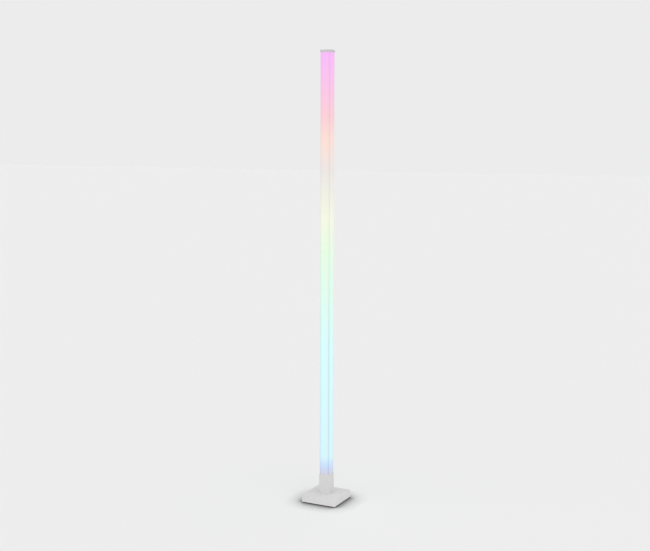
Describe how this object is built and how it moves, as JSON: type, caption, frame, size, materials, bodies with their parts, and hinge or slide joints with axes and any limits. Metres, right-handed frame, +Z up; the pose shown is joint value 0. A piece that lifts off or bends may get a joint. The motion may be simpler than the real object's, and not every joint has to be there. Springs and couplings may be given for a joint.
{
  "type": "corner floor lamp",
  "caption": "Slim square light column on a short stem and a low weighted square base, with a frosted diffuser, an inner core with light strips, and a rear inlet and button.",
  "frame": {"origin": "centre of the base on the floor, at the underside of the rubber feet", "axes": "+Z up along the column, -Y towards the front, +Y towards the rear wall with the inlet and the button, +X to the right seen from the front"},
  "size_m": [0.123, 0.123, 1.5],
  "materials": {
    "white_plastic": "fine satin moulding texture, white",
    "cap_plastic": "fine satin moulding texture, pale grey",
    "opal_diffuser": "frosted opal polycarbonate, lit from inside",
    "black_rubber": "matt moulded rubber",
    "plate_steel": "black powder coat",
    "ballast_steel": "bare mill steel",
    "zinc_screw": "zinc plated",
    "cast_alloy": "as cast",
    "extruded_alloy": "mill-finish extrusion",
    "inner_plastic": "natural white nylon",
    "clear_plastic": "clear polycarbonate",
    "circuit_green": "green solder mask",
    "circuit_white": "white solder mask",
    "led_package": "white package with a clear lens",
    "tin_shield": "tin plated",
    "can_alloy": "bare drawn can",
    "chip_black": "epoxy",
    "connector_cream": "nylon",
    "wire_red": "insulated lead",
    "wire_black": "insulated lead",
    "wire_green": "insulated lead",
    "jack_black": "black nylon",
    "contact_brass": "bright",
    "button_white": "smooth white"
  },
  "bodies": {
    "lamp": {"rubber_feet": "black_rubber", "bottom_plate": "plate_steel", "bottom_screws": "zinc_screw", "ballast_plate": "ballast_steel", "base_cover": "white_plastic", "stem_bolts": "zinc_screw", "wire_grommet": "black_rubber", "core_socket": "cast_alloy", "core_screw": "zinc_screw", "stem_sleeve": "white_plastic", "diffuser_seat": "inner_plastic", "junction_board": "circuit_white", "core_profile": "extruded_alloy", "led_strip_front": "circuit_white", "led_strip_right": "circuit_white", "led_strip_rear": "circuit_white", "led_strip_left": "circuit_white", "leds_front": "led_package", "leds_right": "led_package", "leds_rear": "led_package", "leds_left": "led_package", "centring_rings": "clear_plastic", "diffuser_tube": "opal_diffuser", "top_insert": "inner_plastic", "top_screw": "zinc_screw", "top_cap": "cap_plastic", "control_board": "circuit_green", "board_standoffs": "contact_brass", "board_screws": "zinc_screw", "radio_module": "circuit_green", "radio_shield": "tin_shield", "power_inductor": "chip_black", "board_capacitors": "can_alloy", "board_chips": "chip_black", "board_header": "connector_cream", "lead_plug": "connector_cream", "power_wire": "wire_red", "ground_wire": "wire_black", "data_wire": "wire_green", "jack_body": "jack_black", "jack_pin": "contact_brass", "jack_terminals": "contact_brass", "switch_body": "chip_black", "switch_dome": "zinc_screw"},
    "mode_button": {"button_cap": "button_white", "switch_plunger": "jack_black"}
  },
  "joints": [
    {"name": "button_press", "type": "slide", "parent": "lamp", "child": "mode_button", "axis": [0, -1, 0], "range_m": [0, 0.0008], "stiffness_N_per_m": 400, "springref_m": -0.001}
  ]
}
